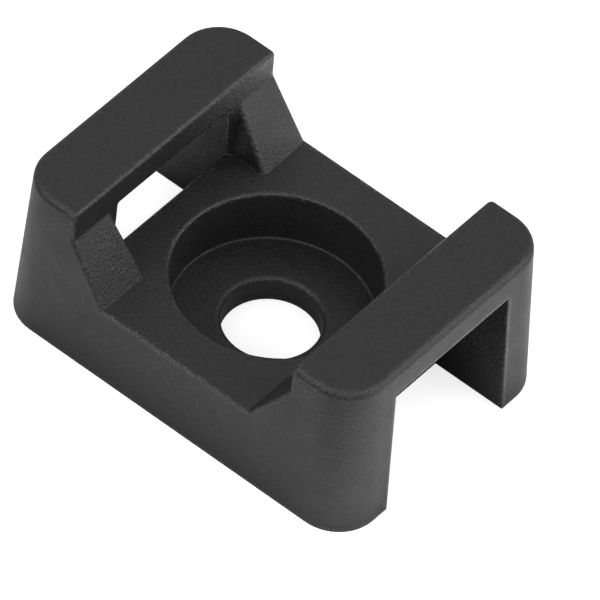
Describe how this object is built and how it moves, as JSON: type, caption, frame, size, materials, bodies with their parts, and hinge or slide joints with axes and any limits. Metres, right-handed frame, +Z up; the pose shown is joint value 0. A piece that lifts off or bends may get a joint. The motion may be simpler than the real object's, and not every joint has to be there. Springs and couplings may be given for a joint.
{
  "type": "cable tie mount",
  "caption": "Screw-down saddle base for a cable tie: the strap passes under a bridge at each end, and a recessed hole in the deck between them takes the fixing screw.",
  "frame": {"origin": "centre of the flat underside, which lies on the panel", "axes": "+X along the length, from bridge to bridge, +Y across the width, along the cable bundle, and +Z up, away from the panel"},
  "size_m": [0.023, 0.016, 0.01],
  "materials": {
    "black_nylon": "black moulded nylon with a fine matt spark-eroded grain"
  },
  "bodies": {
    "root": {"tie_mount": "black_nylon"}
  },
  "joints": []
}
